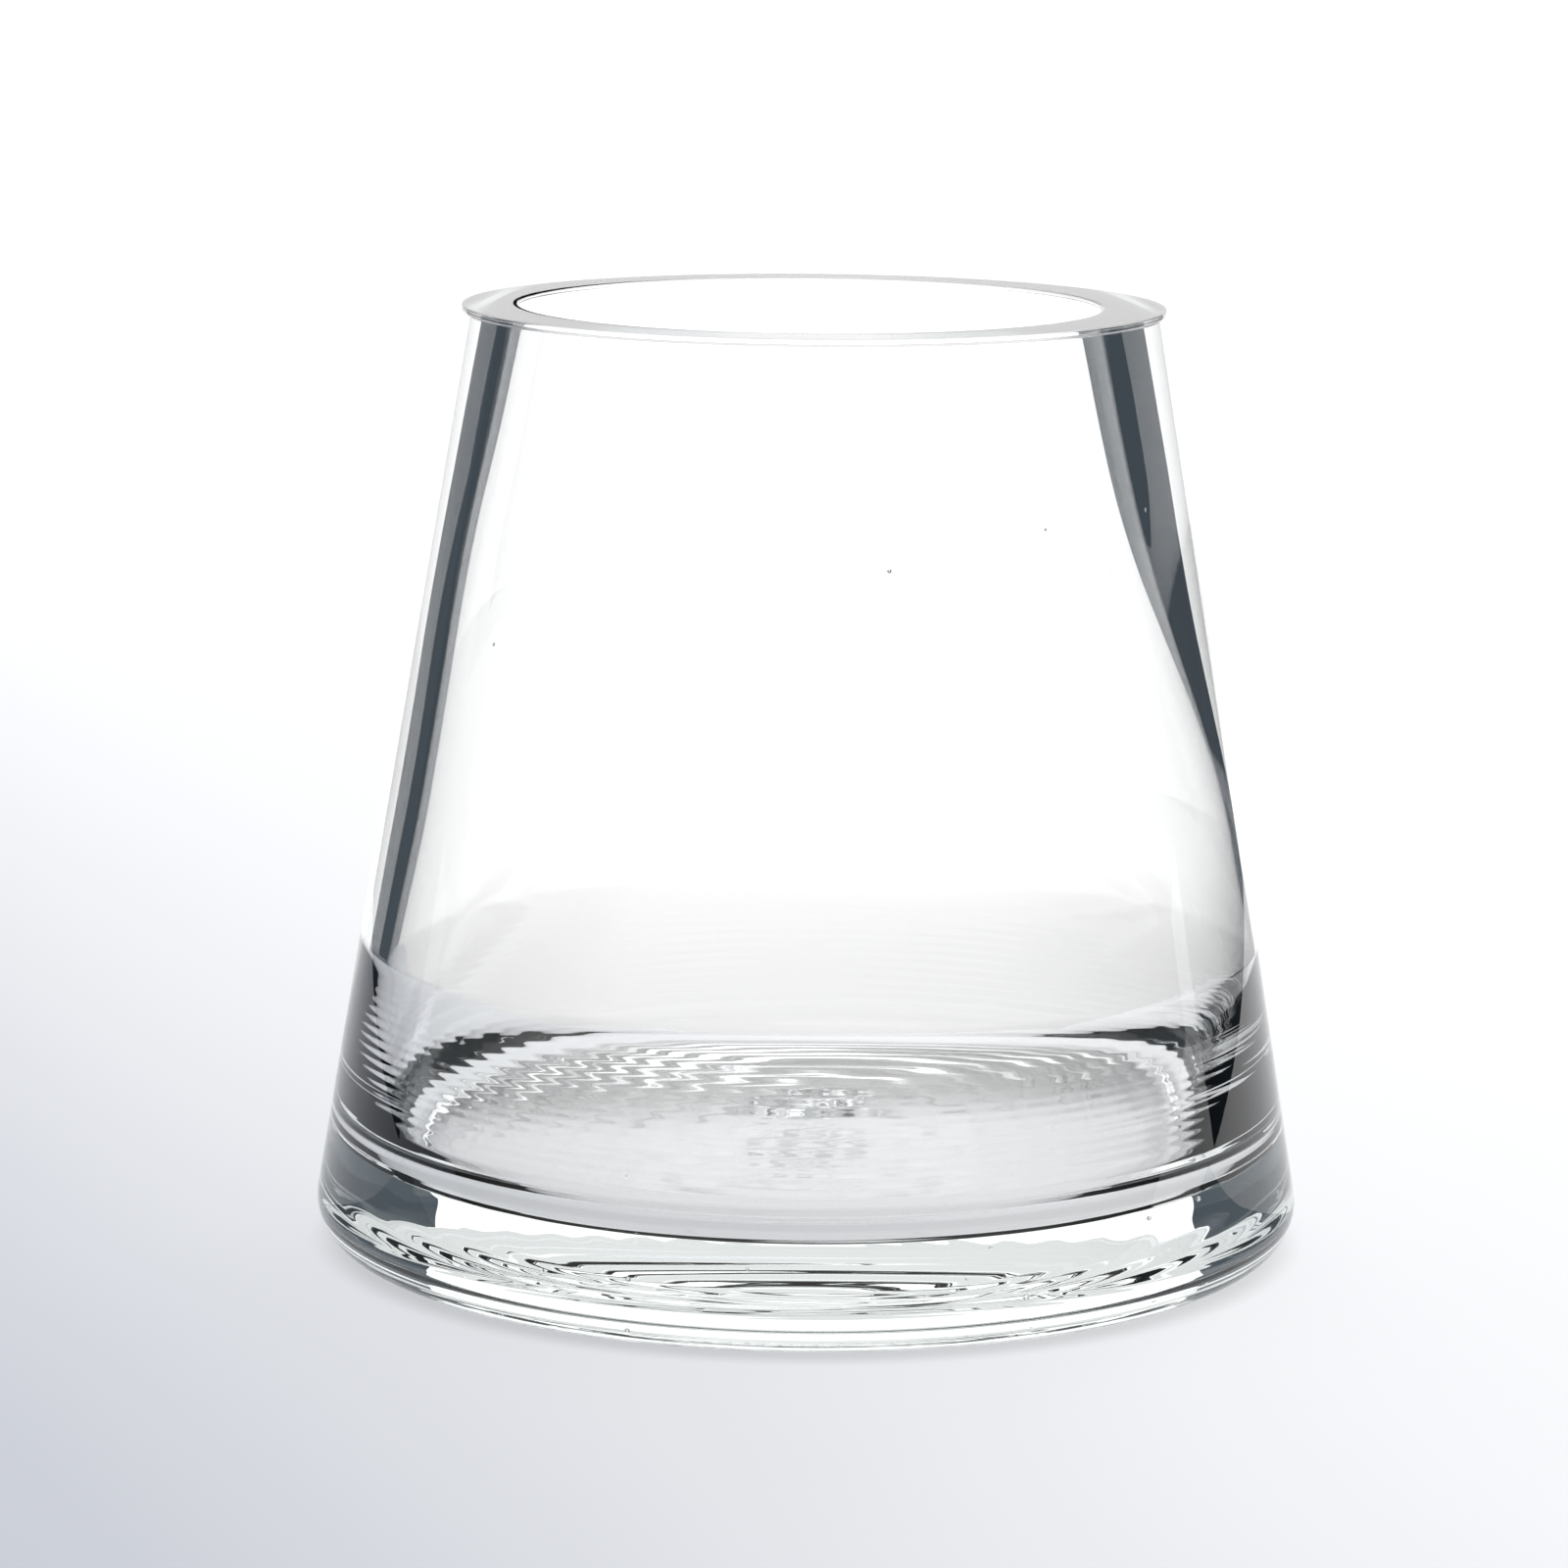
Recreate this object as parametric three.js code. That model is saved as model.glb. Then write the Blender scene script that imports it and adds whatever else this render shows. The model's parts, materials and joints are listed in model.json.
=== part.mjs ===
// Tapered glass flower vase, blown in one piece: a truncated cone of clear
// soda-lime glass, wide at the base, with a heavy floor and a heavy ground rim.
// Millimetres. +Z is up. The origin is the centre of the underside.
import * as THREE from 'three';

// Outside
const HEIGHT = 143.2;            // underside to the flat top of the rim
const BASE_RADIUS = 75.0;        // widest part, just above the foot
const RIM_RADIUS = 52.2;         // wall just under the lip
const FOOT_CORNER_RADIUS = 7.0;  // soft corner between underside and wall
const LIP_OVERHANG = 0.7;        // the ground rim stands out past the wall
const LIP_HEIGHT = 1.1;
const LIP_CHAMFER = 0.3;

// Underside: a flat ring to stand on around a shallow hollow
const STAND_RING_INNER_RADIUS = 56.0;
const UNDERSIDE_HOLLOW_DEPTH = 0.2;
const UNDERSIDE_STEPS = 4;

// Inside
const FLOOR_THICKNESS = 13.4;    // glass under the level part of the floor
const FLOOR_RISE = 1.1;          // the middle of the floor swells a little
const FLOOR_RADIUS = 57.0;       // where the floor turns up into the wall
const FLOOR_STEPS = 5;
const FLOOR_CORNER_RADIUS = 10.0;
const THIN_WALL = 3.1;           // at the waist of the glass, a third of the way up
const THIN_HEIGHT = 46.0;        // height of that thinnest place
const THICK_WALL = 8.2;          // at the rim; it grows evenly from the waist
const HEEL_WALL = 6.6;           // where the wall meets the floor corner
const HEEL_POWER = 1.5;          // how it gathers towards the heel
const MOUTH_EDGE = 0.5;          // the inner edge of the rim is eased by this much
const WALL_STEPS = 12;

const ROUND_SEGMENTS = 72;
const CORNER_STEPS = 6;

const wallLean = Math.atan2(BASE_RADIUS - RIM_RADIUS, HEIGHT);

// A point of the profile: distance from the axis, height.
function at(radius, height) {
  return new THREE.Vector2(radius, height);
}

// An arc of the profile, in equal steps between two angles.
function arc(centreRadius, centreHeight, radius, startAngle, endAngle) {
  const points = [];
  for (let step = 0; step <= CORNER_STEPS; step += 1) {
    const angle = startAngle + (endAngle - startAngle) * step / CORNER_STEPS;
    points.push(at(
      centreRadius + radius * Math.cos(angle),
      centreHeight + radius * Math.sin(angle),
    ));
  }
  return points;
}

// The corner reaches the widest point level with its centre, then leans in.
const footCorner = arc(
  BASE_RADIUS - FOOT_CORNER_RADIUS,
  FOOT_CORNER_RADIUS,
  FOOT_CORNER_RADIUS,
  -Math.PI / 2,
  0,
);
const wallFoot = at(
  BASE_RADIUS - FOOT_CORNER_RADIUS * (1 - Math.cos(wallLean)),
  FOOT_CORNER_RADIUS * (1 + Math.sin(wallLean)),
);

// Outer wall: a straight cone from the foot corner to the rim.
function outerRadius(height) {
  const share = (height - wallFoot.y) / (HEIGHT - wallFoot.y);
  return wallFoot.x + (RIM_RADIUS - wallFoot.x) * share;
}

// Glass thickness, measured level, at a height above the floor corner.
function wallThickness(height) {
  const heelHeight = FLOOR_THICKNESS + FLOOR_CORNER_RADIUS;
  const up = Math.max(0, (height - THIN_HEIGHT) / (HEIGHT - THIN_HEIGHT));
  const down = Math.max(0, (THIN_HEIGHT - height) / (THIN_HEIGHT - heelHeight));
  return THIN_WALL
    + (THICK_WALL - THIN_WALL) * up
    + (HEEL_WALL - THIN_WALL) * down ** HEEL_POWER;
}

function innerRadius(height) {
  return outerRadius(height) - wallThickness(height);
}

function underside() {
  const points = [];
  for (let step = 0; step <= UNDERSIDE_STEPS; step += 1) {
    const share = step / UNDERSIDE_STEPS;
    points.push(at(
      STAND_RING_INNER_RADIUS * share,
      UNDERSIDE_HOLLOW_DEPTH * (1 - share ** 2),
    ));
  }
  return points;
}

function lip() {
  const outer = RIM_RADIUS + LIP_OVERHANG;
  const bottom = HEIGHT - LIP_HEIGHT;
  return [
    at(outerRadius(bottom), bottom),
    at(outer, bottom + LIP_CHAMFER),
    at(outer, HEIGHT - LIP_CHAMFER),
    at(outer - LIP_CHAMFER, HEIGHT),
  ];
}

// Inner wall from the eased edge of the mouth down to the start of the floor corner.
function innerWall() {
  const top = HEIGHT - MOUTH_EDGE;
  const bottom = FLOOR_THICKNESS + FLOOR_CORNER_RADIUS;
  const points = [at(innerRadius(HEIGHT) + MOUTH_EDGE, HEIGHT)];
  for (let step = 0; step <= WALL_STEPS; step += 1) {
    const height = top + (bottom - top) * step / WALL_STEPS;
    points.push(at(innerRadius(height), height));
  }
  return points;
}

// Round corner from the wall to the floor: an ellipse quarter that meets both.
function floorCorner() {
  const wallRadius = innerRadius(FLOOR_THICKNESS + FLOOR_CORNER_RADIUS);
  const points = [];
  for (let step = 1; step <= CORNER_STEPS; step += 1) {
    const angle = Math.PI / 2 * step / CORNER_STEPS;
    points.push(at(
      FLOOR_RADIUS + (wallRadius - FLOOR_RADIUS) * Math.cos(angle),
      FLOOR_THICKNESS + FLOOR_CORNER_RADIUS * (1 - Math.sin(angle)),
    ));
  }
  return points;
}

function floor() {
  const points = [];
  for (let step = 1; step <= FLOOR_STEPS; step += 1) {
    const share = 1 - step / FLOOR_STEPS;
    points.push(at(
      FLOOR_RADIUS * share,
      FLOOR_THICKNESS + FLOOR_RISE * (1 + Math.cos(Math.PI * share)) / 2,
    ));
  }
  return points;
}

const profile = [
  ...underside(),
  ...footCorner,
  wallFoot,
  ...lip(),
  ...innerWall(),
  ...floorCorner(),
  ...floor(),
];

// The lathe turns about its own Y axis, so the solid is stood up on +Z.
function turned(points) {
  const geometry = new THREE.LatheGeometry(points, ROUND_SEGMENTS);
  geometry.rotateX(Math.PI / 2);
  return geometry;
}

const clearGlass = new THREE.MeshStandardMaterial({
  color: 0xe6efec,
  roughness: 0.04,
  metalness: 0.0,
});

const vaseBody = new THREE.Mesh(turned(profile), clearGlass);
vaseBody.name = 'vase_body';

const vase = new THREE.Group();
vase.name = 'tapered_glass_vase';
vase.add(vaseBody);

export default vase;
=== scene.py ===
# %% [markdown]
# # A tapered glass flower vase
# The vase is one piece of clear glass, blown and then ground flat at the rim.
# Glass has no colour of its own to paint. What the eye sees is how its two skins,
# the outside and the inside, bend what stands behind them. So this lesson spends
# its effort on two things: the exact shape of both skins, and the studio around
# them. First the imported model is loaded, and its box is kept for the end.

# %% Load the frame
import json
import math

import bpy
import numpy as np
from mathutils import Matrix, Vector

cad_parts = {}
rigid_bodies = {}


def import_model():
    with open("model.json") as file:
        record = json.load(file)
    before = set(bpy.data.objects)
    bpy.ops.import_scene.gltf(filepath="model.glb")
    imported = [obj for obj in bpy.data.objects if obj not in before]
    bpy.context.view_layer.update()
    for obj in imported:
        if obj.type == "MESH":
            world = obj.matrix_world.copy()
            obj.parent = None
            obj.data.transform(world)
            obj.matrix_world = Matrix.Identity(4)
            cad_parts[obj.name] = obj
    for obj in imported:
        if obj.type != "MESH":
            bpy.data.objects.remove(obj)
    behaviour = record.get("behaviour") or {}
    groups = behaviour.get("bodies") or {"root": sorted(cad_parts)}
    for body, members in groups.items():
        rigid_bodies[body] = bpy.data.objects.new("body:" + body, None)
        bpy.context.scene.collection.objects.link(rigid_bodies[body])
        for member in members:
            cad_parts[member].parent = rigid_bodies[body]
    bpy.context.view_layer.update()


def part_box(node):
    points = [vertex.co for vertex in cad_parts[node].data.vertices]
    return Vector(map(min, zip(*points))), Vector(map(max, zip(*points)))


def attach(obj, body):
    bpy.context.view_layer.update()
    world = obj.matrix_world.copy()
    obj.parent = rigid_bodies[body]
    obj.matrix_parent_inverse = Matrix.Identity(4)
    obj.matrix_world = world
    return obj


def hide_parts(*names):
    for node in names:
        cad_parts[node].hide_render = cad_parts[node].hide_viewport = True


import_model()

scene = bpy.context.scene

# %% [markdown]
# ## Sizes
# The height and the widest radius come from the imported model's box.
# The rest is what a glass maker would note down: how far the rim stands out, how
# round the foot is, how thick the floor is. All of it is in millimetres here,
# and one factor turns it to metres when the mesh is made.

# %% Driving sizes, in millimetres
MM = 0.001
foot_low, foot_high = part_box("vase_body")
HEIGHT = (foot_high.z - foot_low.z) / MM
BASE_RADIUS = (foot_high.x - foot_low.x) / 2 / MM
RIM_RADIUS = 52.2
LIP_OVERHANG = 0.7
LIP_HEIGHT = 1.1
LIP_EDGE_RADIUS = 0.3
RIM_INNER_RADIUS = 44.0
MOUTH_EDGE = 0.5
FOOT_CORNER_RADIUS = 7.0
STAND_RING_INNER_RADIUS = 56.0
UNDERSIDE_HOLLOW = 0.15
FLOOR_THICKNESS = 13.4
FLOOR_RISE = 1.1
FLOOR_RADIUS = 57.0
FLOOR_CORNER = 10.0
print(f"vase {2 * BASE_RADIUS:.1f} mm wide, {HEIGHT:.1f} mm high")


def smooth(low, high, value):
    """0 below low, 1 above high, and an easy curve between them."""
    share = np.clip((value - low) / (high - low), 0.0, 1.0)
    return share * share * (3.0 - 2.0 * share)


# %% [markdown]
# ## The camera
# A long lens from a little above the rim, as glassware is usually shown. It is
# made first, because the studio is arranged around where it stands. The camera
# leans half a degree, as a hand-levelled tripod does.

# %% Camera
CAMERA_DISTANCE = 875.3
CAMERA_HEIGHT = 225.65
CAMERA_ASIDE = -3.9
CAMERA_TILT_DOWN = math.radians(10.08)
CAMERA_ROLL = math.radians(0.5)
FOCAL_MM = 134.1

camera_data = bpy.data.cameras.new("catalogue_camera")
camera_data.lens = FOCAL_MM
camera_data.sensor_width = 36.0
camera = bpy.data.objects.new("catalogue_camera", camera_data)
scene.collection.objects.link(camera)
camera.location = Vector((CAMERA_ASIDE, -CAMERA_DISTANCE, CAMERA_HEIGHT)) * MM
camera.rotation_mode = "XYZ"
level = Matrix.Rotation(math.pi / 2 - CAMERA_TILT_DOWN, 3, "X")
camera.rotation_euler = (level @ Matrix.Rotation(CAMERA_ROLL, 3, "Z")).to_euler()
scene.camera = camera
print("camera at", [round(v, 3) for v in camera.location])

# %% [markdown]
# ## The outside skin
# Blown glass of this shape is a straight cone that ends in a soft round foot.
# It could be a cone primitive with a bevel, but a turned profile gives control
# of every ring, and a refracting skin needs rings that lie close and even.
# The profile is a list of (distance from the axis, height), from the middle of
# the underside, out round the foot, up the wall and over the lip.

# %% Outside profile
wall_lean = math.atan2(BASE_RADIUS - RIM_RADIUS, HEIGHT)
wall_foot = (
    BASE_RADIUS - FOOT_CORNER_RADIUS * (1 - math.cos(wall_lean)),
    FOOT_CORNER_RADIUS * (1 + math.sin(wall_lean)),
)


def outer_radius(height):
    """The straight cone of the outside, at a height above the foot corner."""
    share = (height - wall_foot[1]) / (HEIGHT - wall_foot[1])
    return wall_foot[0] + (RIM_RADIUS - wall_foot[0]) * share


def arc(centre, radius, start, end, steps):
    """Points on an arc of the profile; angles from level outwards, anticlockwise."""
    angles = np.radians(np.linspace(start, end, steps))
    return [(centre[0] + radius * math.cos(a), centre[1] + radius * math.sin(a)) for a in angles]


UNDERSIDE_RINGS = 60
WALL_RINGS = 24
LIP_SUPPORT = (0.7, 0.3, 0.12)
TOP_SUPPORT = (0.12, 0.5)


def underside_profile():
    shares = np.linspace(0.0, 1.0, UNDERSIDE_RINGS)[1:]
    return [(STAND_RING_INNER_RADIUS * s, UNDERSIDE_HOLLOW * (1 - s * s)) for s in shares]


def stand_ring_profile():
    first, last = STAND_RING_INNER_RADIUS, BASE_RADIUS - FOOT_CORNER_RADIUS
    return [(r, 0.0) for r in np.linspace(first, last, 18)[1:-1]]


def wall_profile():
    """Rings crowd together under the lip, so that its corner shades crisply."""
    top = HEIGHT - LIP_HEIGHT
    heights = list(np.linspace(wall_foot[1], top - 1.5, WALL_RINGS)[1:])
    heights += [top - gap for gap in LIP_SUPPORT] + [top]
    return [(outer_radius(z), z) for z in heights]


def lip_profile():
    edge = RIM_RADIUS + LIP_OVERHANG - LIP_EDGE_RADIUS
    low = HEIGHT - LIP_HEIGHT + LIP_EDGE_RADIUS + 0.15
    high = HEIGHT - LIP_EDGE_RADIUS
    side = arc((edge, low), LIP_EDGE_RADIUS, -60, 0, 5)
    side += arc((edge, high), LIP_EDGE_RADIUS, 0, 90, 8)
    mouth = RIM_INNER_RADIUS + MOUTH_EDGE
    radii = [edge - gap for gap in TOP_SUPPORT]
    radii += list(np.linspace(edge - 1.5, mouth + 1.5, 5)) + [mouth + 0.4, mouth + 0.1]
    return side + [(r, HEIGHT) for r in radii]


foot_centre = (BASE_RADIUS - FOOT_CORNER_RADIUS, FOOT_CORNER_RADIUS)
foot_profile = arc(foot_centre, FOOT_CORNER_RADIUS, -90, 0, 22)
foot_profile += arc(foot_centre, FOOT_CORNER_RADIUS, 0, math.degrees(wall_lean), 4)[1:]
outside = (
    underside_profile() + stand_ring_profile() + foot_profile + wall_profile() + lip_profile()
)
print("outside rings:", len(outside))

# %% [markdown]
# ## The inside skin
# The gather of glass was thickest near the rim and near the floor, so the inside
# isn't a copy of the outside: the wall goes from eight millimetres under the rim
# to three at a third of the height, and swells again into the heel.
# The floor is a slab of glass over thirteen millimetres thick. A second turned
# profile runs on from the first, down the inside to the middle of the floor. Its
# rings lie closest in the heel, where the ripples of the next step are finest.

# %% Inside profile
THIN_WALL = 3.1
THIN_HEIGHT = 46.0
WALL_GAIN_PER_MM = 0.033
SHOULDER_GAIN = 2.1
HEEL_GAIN = 3.5
RIPPLE_TOP = 48.0


def wall_thickness(height):
    up = np.maximum(0.0, height - THIN_HEIGHT)
    down = np.clip((THIN_HEIGHT - height) / (THIN_HEIGHT - FLOOR_THICKNESS - FLOOR_CORNER), 0, 2)
    gathered = SHOULDER_GAIN * smooth(62.0, 130.0, height)
    return THIN_WALL + WALL_GAIN_PER_MM * up + gathered + HEEL_GAIN * down ** 1.5


def inner_wall_radius(height):
    return outer_radius(height) - wall_thickness(height)


heel_top = FLOOR_THICKNESS + FLOOR_CORNER
heel_radius = float(inner_wall_radius(heel_top))


def inner_wall_profile():
    edge_radius = float(inner_wall_radius(HEIGHT - MOUTH_EDGE))
    edge = arc((edge_radius + MOUTH_EDGE, HEIGHT - MOUTH_EDGE), MOUTH_EDGE, 90, 180, 6)
    plain_wall = np.linspace(HEIGHT - MOUTH_EDGE, RIPPLE_TOP, 38)[1:]
    rippled_wall = np.linspace(RIPPLE_TOP, heel_top, 80)[1:]
    wall = [*plain_wall, *rippled_wall]
    return edge + [(float(inner_wall_radius(z)), float(z)) for z in wall]


def heel_profile():
    points = []
    for angle in np.radians(np.linspace(0, 90, 48)[1:]):
        radius = FLOOR_RADIUS + (heel_radius - FLOOR_RADIUS) * math.cos(angle)
        points.append((radius, FLOOR_THICKNESS + FLOOR_CORNER * (1 - math.sin(angle))))
    return points


def floor_profile():
    points = []
    for radius in np.linspace(FLOOR_RADIUS, 0.6, 88)[1:]:
        swell = FLOOR_RISE * (1 + math.cos(math.pi * radius / FLOOR_RADIUS)) / 2
        points.append((float(radius), FLOOR_THICKNESS + swell))
    return points


inside = inner_wall_profile() + heel_profile() + floor_profile()
print("inside rings:", len(inside))

# %% [markdown]
# ## What the hand and the mould left in the glass
# Three things make this glass look blown and not machined. The inside wanders
# a millimetre or two from the axis, so one wall is thicker than the other. The
# inside of the floor and the heel carries chill ripples, rings a few millimetres
# apart and from a hundredth to a sixth of a millimetre high, with uneven crests.
# In the middle of the floor is a roughened spot where the tool touched.
# Each is a small push along the skin, worked out from sums of sine waves.

# %% Wander, ripples and the rough spot
rng = np.random.default_rng(7)


def wavy(theta, along, turns, per_mm, count):
    """Smooth noise round the vase: a sum of waves that close on themselves."""
    total = np.zeros(np.broadcast(theta, along).shape)
    for _ in range(count):
        k = rng.integers(turns[0], turns[1] + 1)
        f = rng.uniform(per_mm[0], per_mm[1]) * rng.choice((-1, 1)) * 2 * math.pi
        total += np.sin(k * theta + f * along + rng.uniform(0, 2 * math.pi))
    return total / math.sqrt(count)


LOW_WANDER = 1.5
WANDER_CHANGE = 2.25


def wander(theta, height):
    """How far the inside lies outwards of its turned profile, in millimetres."""
    aside = LOW_WANDER - WANDER_CHANGE * smooth(62.0, 118.0, height)
    return aside * smooth(20.0, 44.0, height) * np.cos(theta)


FLOOR_SPACING = 8.5
EDGE_SPACING = 3.2
HEEL_SPACING = 1.5
FLOOR_SLOPE = 0.12
HEEL_SLOPE = 0.05
FRONT_SHARE = 0.12


def ring_spacing(along):
    """Broad rings in the middle of the floor, close ones at its edge and in the heel."""
    edge = EDGE_SPACING + (FLOOR_SPACING - EDGE_SPACING) * (1 - smooth(24.0, 56.0, along))
    return edge + (HEEL_SPACING - EDGE_SPACING) * smooth(56.0, 66.0, along)


way_out = np.linspace(0.0, 200.0, 2001)
turns_so_far = np.cumsum(1.0 / ring_spacing(way_out)) * (way_out[1] - way_out[0])


def ripples(theta, along, height):
    """Chill ripples: along is the way from the middle of the floor, in mm."""
    phase = 2 * math.pi * np.interp(along, way_out, turns_so_far)
    drift = 1.5 * wavy(theta, along, (1, 3), (0.0, 0.012), 6)
    ragged = 0.03 * wavy(theta, along, (8, 30), (0.01, 0.04), 10)
    crest = np.sin(phase + drift + ragged)
    strength = 1.0 + 0.35 * wavy(theta, along, (1, 5), (0.01, 0.05), 6)
    behind = FRONT_SHARE + (1 - FRONT_SHARE) * smooth(-0.30, 0.25, np.sin(theta))
    in_heel = smooth(54.0, 62.0, along)
    floor_part = FLOOR_SLOPE * smooth(11.0, 20.0, along) * behind * (1 - in_heel)
    heel_part = HEEL_SLOPE * in_heel * (1 - smooth(28.0, 46.0, height))
    reach = ring_spacing(along) / (2 * math.pi)
    return crest * strength * reach * (floor_part + heel_part)


UNDERSIDE_RIPPLE_HEIGHT = 0.027
UNDERSIDE_SPACING = 5.0


def underside_ripples(theta, profile):
    """The same chill rings on the underside; they only ever rise into the glass."""
    along, height = profile[:, :1], profile[:, 1:2]
    drift = 2.2 * wavy(theta, along, (1, 4), (0.0, 0.02), 6)
    crest = 1 + np.sin(2 * math.pi * along / UNDERSIDE_SPACING + drift)
    back_half = smooth(4.0, 14.0, along) * smooth(-0.2, 0.3, np.sin(theta))
    reached = np.maximum(back_half, smooth(28.0, 44.0, along))
    where = reached * (1 - smooth(60.0, 67.0, along)) * (height < 1.0)
    return UNDERSIDE_RIPPLE_HEIGHT * crest * where


SPOT_RADIUS = 13.0
SPOT_SLOPE = 0.042
SPOT_WAVES = 24


def rough_spot(theta, along):
    """Small lumps without direction, where the tool touched the soft floor."""
    x, y = along * np.cos(theta), along * np.sin(theta)
    bumps = np.zeros(x.shape)
    for _ in range(SPOT_WAVES):
        direction = rng.uniform(0, 2 * math.pi)
        f = 2 * math.pi / rng.uniform(1.4, 4.0)
        start = rng.uniform(0, 2 * math.pi)
        bumps += np.sin(f * (x * math.cos(direction) + y * math.sin(direction)) + start) / f
    return SPOT_SLOPE * bumps * (1 - smooth(SPOT_RADIUS * 0.55, SPOT_RADIUS, along))


# %% [markdown]
# ## Turning the glass
# The two profiles joined make one closed outline, and turning it makes one
# closed skin. Each ring has the same number of points; the middle of the
# underside and of the floor close in a small fan.

# %% Build the body
SEGMENTS = 240


def turned_body():
    """Every ring of the skin, as an array of rings, sides and coordinates."""
    theta = np.linspace(0, 2 * math.pi, SEGMENTS, endpoint=False)[None, :]
    out_rz = np.array(outside)
    in_rz = np.array(inside)
    steps = np.hypot(np.diff(in_rz[:, 0]), np.diff(in_rz[:, 1]))
    along = np.concatenate([[0.0], np.cumsum(steps)])
    along = along[-1] - along + in_rz[-1, 0]
    tangent = np.gradient(in_rz, axis=0)
    tangent /= np.linalg.norm(tangent, axis=1)[:, None]
    normal = np.stack([-tangent[:, 1], tangent[:, 0]], 1)
    radius = in_rz[:, :1] + wander(theta, in_rz[:, 1:2])
    push = ripples(theta, along[:, None], in_rz[:, 1:2]) + rough_spot(theta, along[:, None])
    radius = radius + push * normal[:, :1]
    height = in_rz[:, 1:2] + push * normal[:, 1:2]
    beneath = out_rz[:, 1:2] + underside_ripples(theta, out_rz)
    rings_r = np.concatenate([np.repeat(out_rz[:, :1], SEGMENTS, 1), radius])
    rings_z = np.concatenate([beneath, height])
    points = np.stack([rings_r * np.cos(theta), rings_r * np.sin(theta), rings_z], -1) * MM
    return points


points = turned_body()
ring_count = len(points)
vertices = [tuple(p) for p in points.reshape(-1, 3)]
under_centre = len(vertices)
vertices.append((0.0, 0.0, UNDERSIDE_HOLLOW * MM))
floor_centre = len(vertices)
vertices.append((0.0, 0.0, float(points[-1, :, 2].mean())))
faces = []
for j in range(SEGMENTS):
    k = (j + 1) % SEGMENTS
    faces.append((under_centre, k, j))
    last = (ring_count - 1) * SEGMENTS
    faces.append((floor_centre, last + j, last + k))
for i in range(ring_count - 1):
    a, b = i * SEGMENTS, (i + 1) * SEGMENTS
    for j in range(SEGMENTS):
        k = (j + 1) % SEGMENTS
        faces.append((a + j, a + k, b + k, b + j))
body_faces = len(faces)
print("rings:", ring_count, "faces of the skin:", body_faces)

# %% [markdown]
# ## Seeds
# Glassmakers call the small bubbles left in the melt seeds. A real vase has a few,
# mostly in the thick floor. Each is a little closed skin whose faces look into the
# bubble, because there the air is on the inside. They are part of the same mesh:
# a bubble is a surface of the glass like any other.

# %% Seeds in the glass
SEED_COUNT = 12
SEED_RINGS = 6
SEED_SIDES = 10
seed_rng = np.random.default_rng(21)


def add_seed(centre, radius, stretch):
    """A small egg-shaped bubble, with its faces turned inwards."""
    first = len(vertices)
    cx, cy, cz = centre
    vertices.append((cx, cy, cz + radius * stretch))
    for ring in range(1, SEED_RINGS):
        polar = math.pi * ring / SEED_RINGS
        for side in range(SEED_SIDES):
            turn = 2 * math.pi * side / SEED_SIDES
            vertices.append((
                cx + radius * math.sin(polar) * math.cos(turn),
                cy + radius * math.sin(polar) * math.sin(turn),
                cz + radius * stretch * math.cos(polar),
            ))
    last = len(vertices)
    vertices.append((cx, cy, cz - radius * stretch))
    for side in range(SEED_SIDES):
        after = (side + 1) % SEED_SIDES
        faces.append((first, first + 1 + after, first + 1 + side))
        low = last - SEED_SIDES
        faces.append((last, low + side, low + after))
        for ring in range(SEED_RINGS - 2):
            a, b = first + 1 + ring * SEED_SIDES, first + 1 + (ring + 1) * SEED_SIDES
            faces.append((a + side, a + after, b + after, b + side))


for number in range(SEED_COUNT):
    turn = seed_rng.uniform(0, 2 * math.pi)
    if number % 3:
        seed_height = seed_rng.uniform(4.0, FLOOR_THICKNESS - 4.0)
        seed_distance = seed_rng.uniform(20.0, 66.0)
    else:
        seed_height = seed_rng.uniform(80.0, 130.0)
        seed_distance = outer_radius(seed_height) - wall_thickness(seed_height) / 2
    centre = (seed_distance * math.cos(turn), seed_distance * math.sin(turn), seed_height)
    size = seed_rng.uniform(0.18, 0.38)
    add_seed([v * MM for v in centre], size * MM, seed_rng.uniform(0.9, 1.5))
print("faces with the seeds:", len(faces))

# %% [markdown]
# ## One mesh
# The skin and the seeds become one object. It shades smoothly, and it is the piece
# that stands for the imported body. It is hidden from diffuse rays, so it throws no
# shadow and no caustic on the paper, as real glass would. A thin dark line under
# the foot, painted into the paper's material, stands in for both.

# %% Make the vase
mesh = bpy.data.meshes.new("vase_glass")
mesh.from_pydata(vertices, [], faces)
mesh.validate()
mesh.shade_smooth()
vase = bpy.data.objects.new("vase_glass", mesh)
scene.collection.objects.link(vase)
vase.visible_diffuse = False
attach(vase, "root")
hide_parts("vase_body")
print("faces:", len(mesh.polygons))

# %% [markdown]
# ## Helpers for materials
# Colours are written as sRGB hex and turned to linear light by one function. One
# small function adds a node, sets it and links it.

# %% Material helpers
def linear(hex_colour):
    """sRGB hex to linear RGB with alpha 1."""
    channels = [int(hex_colour[i:i + 2], 16) / 255 for i in (1, 3, 5)]
    return (*[c / 12.92 if c <= 0.04045 else ((c + 0.055) / 1.055) ** 2.4 for c in channels], 1.0)


def add_node(tree, kind, settings=None, inputs=None, links=None):
    """Add a node, set its fields and input values, and link its inputs."""
    node = tree.nodes.new(kind)
    for name, value in (settings or {}).items():
        setattr(node, name, value)
    for name, value in (inputs or {}).items():
        node.inputs[name].default_value = value
    for name, source in (links or {}).items():
        tree.links.new(source, node.inputs[name])
    return node


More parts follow.
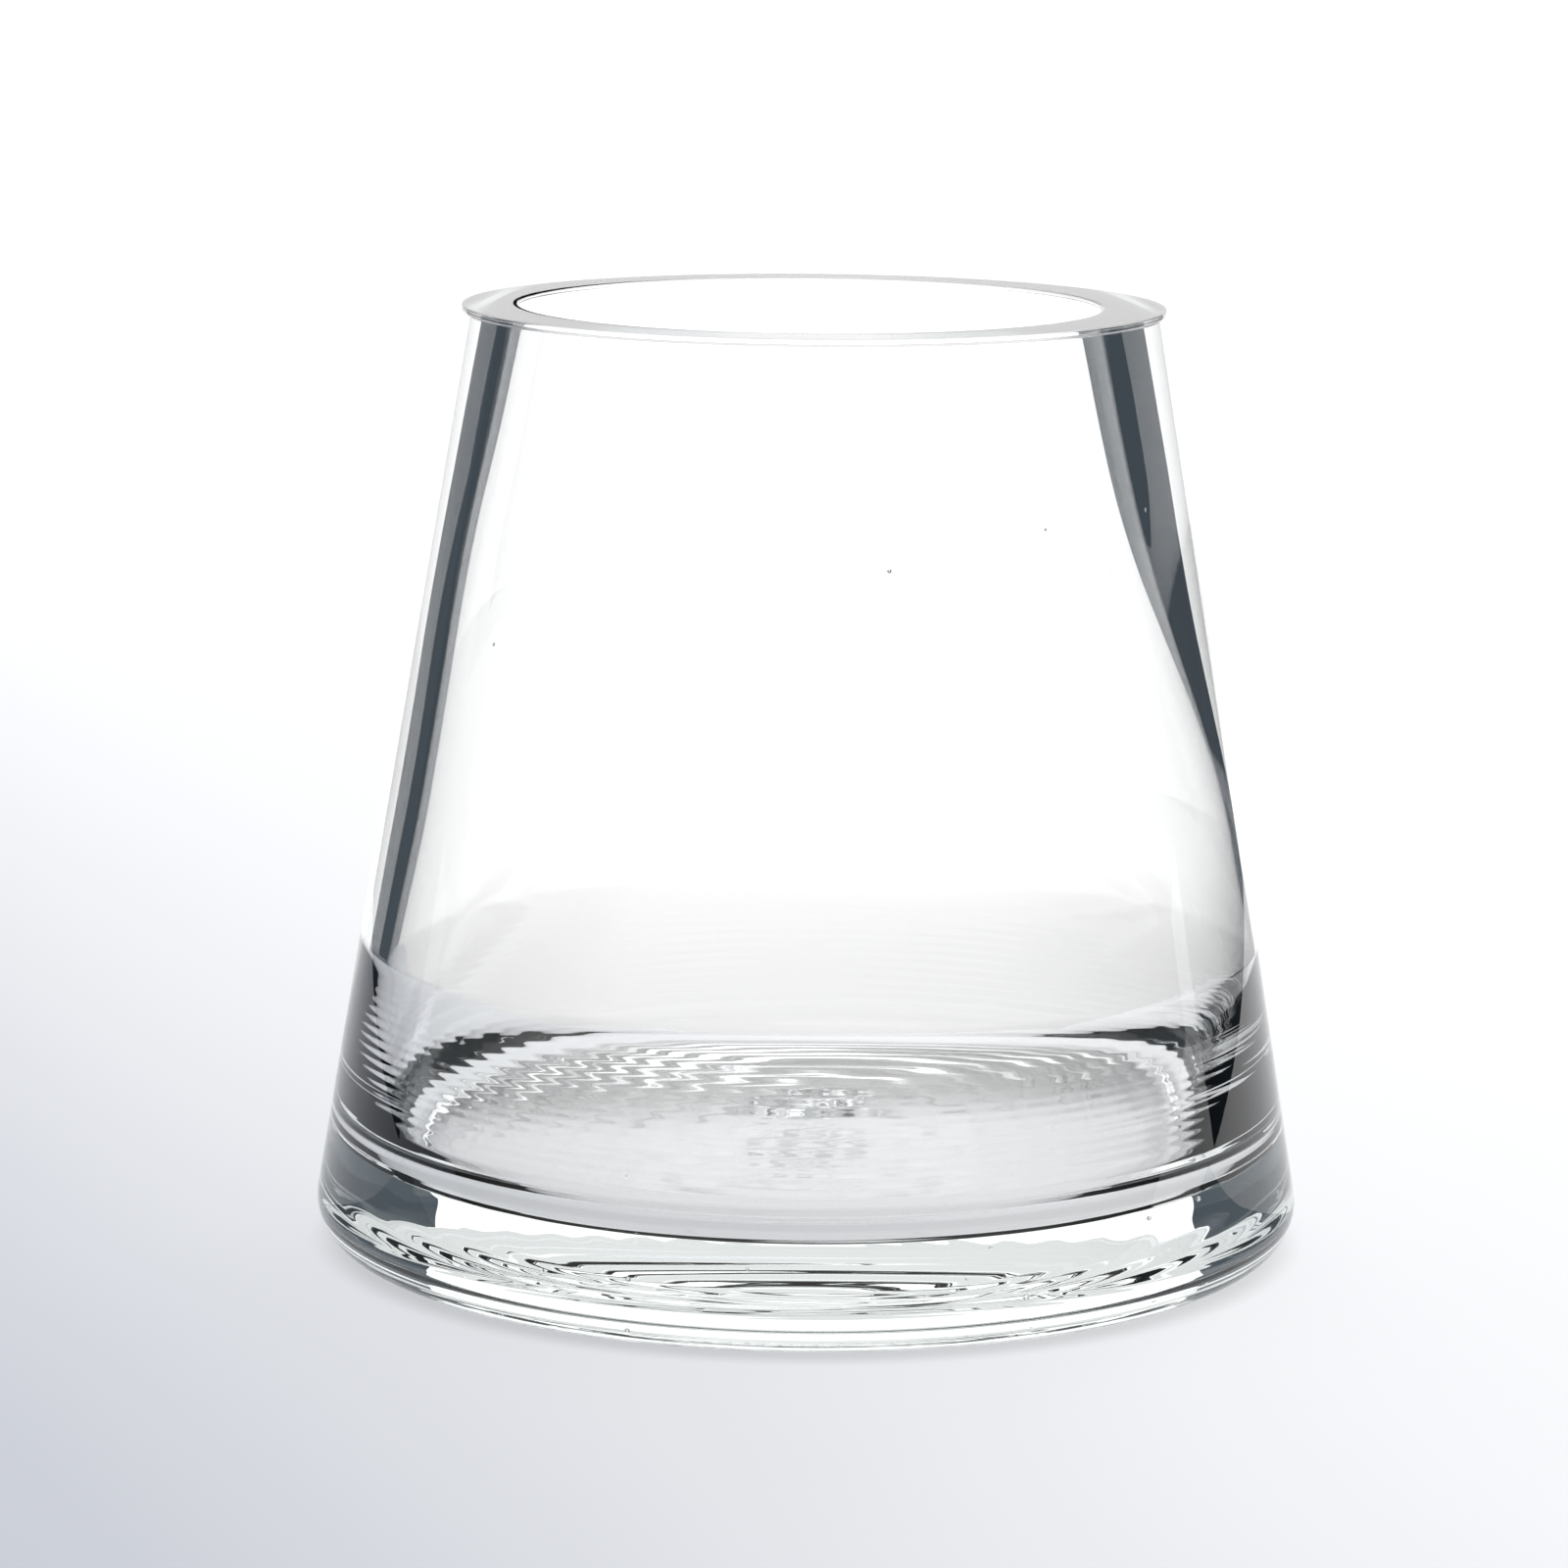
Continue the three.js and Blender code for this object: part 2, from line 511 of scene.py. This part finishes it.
# %% [markdown]
# ## The glass
# Clear soda-lime glass bends light by 1.52 and keeps a little of the red, which
# shows as a faint green-grey where the glass is thick. The skin isn't the same all
# over: the top of the rim was ground and then only half polished, the spot in the
# floor is rougher and carries grey streaks of painted shade, and handling leaves the
# faintest smears. Blown glass is also never quite flat: a very shallow swell, a few
# centimetres long, bends the edges of what is seen through it.

# %% Clear soda-lime glass
RIM_ROUGHNESS = 0.22
SPOT_ROUGHNESS = 0.05
SPOT_SHADE_STREAKS_PER_METRE = 300.0
SMEAR_ROUGHNESS = 0.012
SMEARS_PER_METRE = 28.0
SWELLS_PER_METRE = 30.0
SWELL_HEIGHT = 0.00003

# Clear soda-lime glass: crisp refraction, a satin rim, faint smears and swells.
glass = bpy.data.materials.new("clear_soda_lime_glass")
glass.use_nodes = True
tree = glass.node_tree
tree.nodes.clear()
place = add_node(tree, "ShaderNodeTexCoord")
where = place.outputs["Object"]
parts = add_node(tree, "ShaderNodeSeparateXYZ", links={"Vector": where})
on_rim = add_node(tree, "ShaderNodeMapRange", inputs={
    "From Min": (HEIGHT - 0.12) * MM, "From Max": (HEIGHT - 0.02) * MM,
    "To Max": RIM_ROUGHNESS}, links={"Value": parts.outputs["Z"]})
level_way = add_node(tree, "ShaderNodeVectorMath", {"operation": "MULTIPLY"},
                     {1: (1.0, 1.0, 0.0)}, {0: where})
aside = add_node(tree, "ShaderNodeVectorMath", {"operation": "LENGTH"},
                 links={0: level_way.outputs["Vector"]})
near_middle = add_node(tree, "ShaderNodeMapRange", {"interpolation_type": "SMOOTHSTEP"}, {
    "From Min": SPOT_RADIUS * 0.6 * MM, "From Max": SPOT_RADIUS * MM,
    "To Min": SPOT_ROUGHNESS, "To Max": 0.0}, {"Value": aside.outputs["Value"]})
off_underside = add_node(tree, "ShaderNodeMath", {"operation": "GREATER_THAN"},
                         {1: FLOOR_THICKNESS / 2 * MM}, {0: parts.outputs["Z"]})
in_spot = add_node(tree, "ShaderNodeMath", {"operation": "MULTIPLY"}, links={
    0: near_middle.outputs["Result"], 1: off_underside.outputs["Value"]})
smears = add_node(tree, "ShaderNodeTexNoise", inputs={
    "Scale": SMEARS_PER_METRE, "Detail": 6.0, "Roughness": 0.65, "Distortion": 1.2},
    links={"Vector": where})
smear_rough = add_node(tree, "ShaderNodeMapRange", inputs={
    "From Min": 0.60, "From Max": 0.80, "To Max": SMEAR_ROUGHNESS},
    links={"Value": smears.outputs["Fac"]})
satin = add_node(tree, "ShaderNodeMath", {"operation": "MAXIMUM"}, links={
    0: on_rim.outputs["Result"], 1: in_spot.outputs["Value"]})
roughness = add_node(tree, "ShaderNodeMath", {"operation": "MAXIMUM"}, links={
    0: satin.outputs["Value"], 1: smear_rough.outputs["Result"]})
# Painted shade: noise streaks tint the rough spot in the floor grey, standing in for the light its
# rough skin scatters away.
streaks = add_node(tree, "ShaderNodeTexNoise", inputs={
    "Scale": SPOT_SHADE_STREAKS_PER_METRE, "Detail": 4.0}, links={"Vector": where})
spot_shade = add_node(tree, "ShaderNodeMapRange", inputs={
    "From Min": 0.42, "From Max": 0.56, "To Min": 0.10, "To Max": 1.0},
    links={"Value": streaks.outputs["Fac"]})
spot_shade_share = add_node(tree, "ShaderNodeMath", {"operation": "MULTIPLY"},
                      links={0: spot_shade.outputs["Result"], 1: in_spot.outputs["Value"]})
spot_shade_amount = add_node(tree, "ShaderNodeMath", {"operation": "DIVIDE"}, {1: SPOT_ROUGHNESS},
                       {0: spot_shade_share.outputs["Value"]})
painted_spot_shade = add_node(tree, "ShaderNodeValToRGB", links={"Fac": spot_shade_amount.outputs["Value"]})
painted_spot_shade.color_ramp.elements[0].color = (1, 1, 1, 1)
painted_spot_shade.color_ramp.elements[1].color = linear("#7f8688")
swell = add_node(tree, "ShaderNodeTexNoise", inputs={
    "Scale": SWELLS_PER_METRE, "Detail": 1.0}, links={"Vector": where})
bump = add_node(tree, "ShaderNodeBump", inputs={
    "Strength": 1.0, "Distance": SWELL_HEIGHT}, links={"Height": swell.outputs["Fac"]})
skin = add_node(tree, "ShaderNodeBsdfPrincipled", inputs={
    "IOR": 1.52, "Transmission Weight": 1.0}, links={
    "Base Color": painted_spot_shade.outputs["Color"], "Roughness": roughness.outputs["Value"],
    "Normal": bump.outputs["Normal"]})
body = add_node(tree, "ShaderNodeVolumeAbsorption", inputs={
    "Color": linear("#dfeeea"), "Density": 2.5})
add_node(tree, "ShaderNodeOutputMaterial", links={
    "Surface": skin.outputs["BSDF"], "Volume": body.outputs["Volume"]})
vase.data.materials.append(glass)
print("glass nodes:", len(tree.nodes))

# %% [markdown]
# ## The studio
# Clear glass is shown in a bright field: a white screen behind it, and dark flags
# aside of it, which the wall's edges bend into thin dark lines. Without the flags
# the vase would vanish. A white bounce in front fills the reflections, and cards
# on the table lighten or darken what the heel shows. The camera sees the paper and
# the screen; the other cards show only in the glass. The whole set stands on a
# turntable that keeps facing the camera, so each side is lit as the front is.

# %% Cards and the turntable
# Lit card: even light with no texture, so that only its edges show in the glass.
def lit_card(name, hex_colour, strength):
    """Material of a card that gives out an even light of its own."""
    material = bpy.data.materials.new(name)
    material.use_nodes = True
    tree = material.node_tree
    tree.nodes.clear()
    light = add_node(tree, "ShaderNodeEmission", inputs={
        "Color": linear(hex_colour), "Strength": strength})
    add_node(tree, "ShaderNodeOutputMaterial", links={"Surface": light.outputs["Emission"]})
    return material


turntable = bpy.data.objects.new("studio_turntable", None)
scene.collection.objects.link(turntable)
follow = turntable.constraints.new("LOCKED_TRACK")
follow.target = camera
follow.track_axis = "TRACK_NEGATIVE_Y"
follow.lock_axis = "LOCK_Z"


def stage_mesh(name, verts, faces, material):
    """A piece of the studio: it turns with the set and isn't part of the vase."""
    mesh = bpy.data.meshes.new(name)
    mesh.from_pydata(verts, [], faces)
    mesh.materials.append(material)
    thing = bpy.data.objects.new(name, mesh)
    scene.collection.objects.link(thing)
    thing.parent = turntable
    return thing


FLOOR_GAP = 0.0001
WIDE = 8.0
CONTACT_SHADE = 0.80
UNDER_VASE_PAINTED_SHADE = 0.82


def painted_shade_paper():
    """Paper with painted shade: white darkening to grey-lilac towards its near left corner, under
    the back half of the vase and round the foot.
    """
    material = bpy.data.materials.new("paper_with_painted_shade")
    material.use_nodes = True
    tree = material.node_tree
    tree.nodes.clear()
    place = add_node(tree, "ShaderNodeTexCoord")
    across = add_node(tree, "ShaderNodeVectorMath", {"operation": "DOT_PRODUCT"},
                      {1: (0.925, 0.382, 0.0)}, {0: place.outputs["Object"]})
    share = add_node(tree, "ShaderNodeMapRange", None,
                     {"From Min": -0.30, "From Max": 0.30}, {"Value": across.outputs["Value"]})
    # Painted shade: the paper darkens from white to grey-lilac towards its near left corner, as a
    # flag's soft shadow would fall there.
    fade = add_node(tree, "ShaderNodeValToRGB", links={"Fac": share.outputs["Result"]})
    stops = fade.color_ramp
    stops.interpolation = "B_SPLINE"
    stops.elements[0].color = linear("#b4b8c2")
    stops.elements[1].color = linear("#fdfdfe")
    for position, shade in ((0.26, "#c9ccd4"), (0.40, "#e6e7ea"), (0.56, "#f4f5f7")):
        stops.elements.new(position).color = linear(shade)
    parts = add_node(tree, "ShaderNodeSeparateXYZ", links={"Vector": place.outputs["Object"]})
    away = add_node(tree, "ShaderNodeVectorMath", {"operation": "LENGTH"},
                    links={0: place.outputs["Object"]})

    def easy_range(source, low, high, low_value, high_value):
        return add_node(tree, "ShaderNodeMapRange", {"interpolation_type": "SMOOTHSTEP"}, {
            "From Min": low, "From Max": high, "To Min": low_value, "To Max": high_value},
            {"Value": source}).outputs["Result"]

    # Painted contact shadow: a thin darker ring of paper round the foot.
    contact = easy_range(away.outputs["Value"], 0.0700, 0.0768, CONTACT_SHADE, 1.0)
    # Painted shade under the back half of the vase, where the thick glass keeps light off the
    # paper.
    under = easy_range(away.outputs["Value"], 0.060, 0.073, 1.0, 0.0)
    behind = easy_range(parts.outputs["Y"], -0.005, 0.022, 0.0, UNDER_VASE_PAINTED_SHADE)
    dim = add_node(tree, "ShaderNodeMath", {"operation": "MULTIPLY"}, links={0: under, 1: behind})
    lit = add_node(tree, "ShaderNodeMath", {"operation": "SUBTRACT"}, {0: 1.0},
                   {1: dim.outputs["Value"]})
    kept = add_node(tree, "ShaderNodeMath", {"operation": "MULTIPLY"},
                    links={0: lit.outputs["Value"], 1: contact})
    shaded = add_node(tree, "ShaderNodeVectorMath", {"operation": "SCALE"},
                      links={0: fade.outputs["Color"], "Scale": kept.outputs["Value"]})
    shader = add_node(tree, "ShaderNodeBsdfPrincipled",
                      inputs={"Roughness": 0.9, "Specular IOR Level": 0.0},
                      links={"Base Color": shaded.outputs["Vector"]})
    add_node(tree, "ShaderNodeOutputMaterial", links={"Surface": shader.outputs["BSDF"]})
    return material


floor = stage_mesh("pale_floor", [(x, y, -FLOOR_GAP) for x, y in (
    (-WIDE, -WIDE), (WIDE, -WIDE), (WIDE, WIDE), (-WIDE, WIDE))], [(0, 1, 2, 3)], painted_shade_paper())


def card(name, start_deg, end_deg, radius, low, high, hex_colour, strength, seen=False):
    """A curved card that stands behind the vase; its ends are angles aside of straight back."""
    angles = np.radians(np.linspace(start_deg, end_deg, 48))
    verts = [(radius * math.sin(a), radius * math.cos(a), z) for a in angles for z in (low, high)]
    faces = [(2 * i, 2 * i + 2, 2 * i + 3, 2 * i + 1) for i in range(len(angles) - 1)]
    thing = stage_mesh(name, verts, faces, lit_card(name, hex_colour, strength))
    if not seen:
        thing.visible_camera = thing.visible_diffuse = thing.visible_shadow = False
    return thing


def fade_away(material, near, far, near_glow, far_glow):
    """Let a card's glow change with the distance from the vase."""
    tree = material.node_tree
    place = add_node(tree, "ShaderNodeTexCoord")
    away = add_node(tree, "ShaderNodeVectorMath", {"operation": "LENGTH"},
                    links={0: place.outputs["Object"]})
    glow = add_node(tree, "ShaderNodeMapRange", inputs={
        "From Min": near, "From Max": far, "To Min": near_glow, "To Max": far_glow},
        links={"Value": away.outputs["Value"]})
    tree.links.new(glow.outputs["Result"], tree.nodes["Emission"].inputs["Strength"])


def fade_round(material, start_deg, end_deg, start_glow, end_glow):
    """Let a card's glow change with the angle aside of straight back."""
    tree = material.node_tree
    place = add_node(tree, "ShaderNodeTexCoord")
    level = add_node(tree, "ShaderNodeVectorMath", {"operation": "MULTIPLY"},
                     {1: (1.0, 1.0, 0.0)}, {0: place.outputs["Object"]})
    aim = add_node(tree, "ShaderNodeVectorMath", {"operation": "NORMALIZE"},
                   links={0: level.outputs["Vector"]})
    parts = add_node(tree, "ShaderNodeSeparateXYZ", links={"Vector": aim.outputs["Vector"]})
    glow = add_node(tree, "ShaderNodeMapRange", {"interpolation_type": "SMOOTHSTEP"}, {
        "From Min": math.cos(math.radians(start_deg)), "From Max": math.cos(math.radians(end_deg)),
        "To Min": start_glow, "To Max": end_glow}, {"Value": parts.outputs["Y"]})
    tree.links.new(glow.outputs["Result"], tree.nodes["Emission"].inputs["Strength"])


def floor_card(name, start_deg, end_deg, near, far, hex_colour, strength):
    """A card lying on the table beside the vase, a sector of a ring."""
    angles = np.radians(np.linspace(start_deg, end_deg, 24))
    verts = [(r * math.sin(a), r * math.cos(a), FLOOR_GAP) for a in angles for r in (near, far)]
    faces = [(2 * i, 2 * i + 1, 2 * i + 3, 2 * i + 2) for i in range(len(angles) - 1)]
    thing = stage_mesh(name, verts, faces, lit_card(name, hex_colour, strength))
    thing.visible_camera = thing.visible_diffuse = thing.visible_shadow = False
    return thing


GREY_FLAG = "#474f56"
BLACK_FLAG = "#40484f"
TABLE_GREY = "#8f999f"
WHITE_CARD = "#ffffff"
WHITE_GLOW = 1.35
SCREEN_DISTANCE = 1.5
BOUNCE_DISTANCE = 1.45
FLAG_DISTANCE = 0.42
FLAG_HEIGHT = 0.26

card("white_screen", -38, 36, SCREEN_DISTANCE, -FLOOR_GAP, 1.1, WHITE_CARD, WHITE_GLOW, seen=True)
bounce = card("front_bounce", 75, 285, BOUNCE_DISTANCE, 0.0, 1.3, WHITE_CARD, 1.0)
fade_round(bounce.data.materials[0], 85, 155, 0.15, 1.10)
card("grey_flag_left", -48, -32, FLAG_DISTANCE, 0.0, FLAG_HEIGHT, GREY_FLAG, 1.0)
card("black_flag_left", -75, -48, FLAG_DISTANCE, 0.0, FLAG_HEIGHT, BLACK_FLAG, 1.0)
card("grey_flag_right", 29, 46, FLAG_DISTANCE, 0.0, FLAG_HEIGHT, GREY_FLAG, 1.0)
card("black_flag_right", 46, 75, FLAG_DISTANCE, 0.0, FLAG_HEIGHT, BLACK_FLAG, 1.0)
bright_table = floor_card("lit_table_card_behind", -32, 29, 0.085, 1.49, WHITE_CARD, 1.0)
fade_away(bright_table.data.materials[0], 0.09, 0.45, 0.86, 1.22)
floor_card("grey_table_card_left", -150, -78, 0.09, FLAG_DISTANCE, TABLE_GREY, 1.0)
floor_card("grey_table_card_right", 78, 150, 0.09, FLAG_DISTANCE, TABLE_GREY, 1.0)

print("studio pieces:", len(turntable.children))

# %% [markdown]
# ## The room
# Above the cards the room is a soft white ceiling over dim walls. It lights the
# paper evenly. The glass needs many bounces, because light runs along inside the
# thick floor.

# %% Room light and light paths
world = bpy.data.worlds.new("soft_room")
world.use_nodes = True
tree = world.node_tree
tree.nodes.clear()
way = add_node(tree, "ShaderNodeTexCoord")
parts = add_node(tree, "ShaderNodeSeparateXYZ", links={"Vector": way.outputs["Generated"]})
ramp = add_node(tree, "ShaderNodeValToRGB", links={"Fac": parts.outputs["Z"]})
stops = ramp.color_ramp
stops.elements[0].position = 0.0
stops.elements[0].color = (0.12, 0.14, 0.155, 1)
stops.elements[1].position = 0.70
stops.elements[1].color = (1, 1, 1, 1)
for place, colour in ((0.25, (0.10, 0.115, 0.13, 1)), (0.45, (0.30, 0.32, 0.34, 1))):
    stop = stops.elements.new(place)
    stop.color = colour
glow = add_node(tree, "ShaderNodeBackground", inputs={"Strength": WHITE_GLOW},
                links={"Color": ramp.outputs["Color"]})
add_node(tree, "ShaderNodeOutputWorld", links={"Surface": glow.outputs["Background"]})
scene.world = world

scene.view_settings.view_transform = "Standard"
LIGHT_BOUNCES = 24
scene.cycles.max_bounces = LIGHT_BOUNCES
scene.cycles.transmission_bounces = LIGHT_BOUNCES
print("bounces allowed:", scene.cycles.max_bounces)
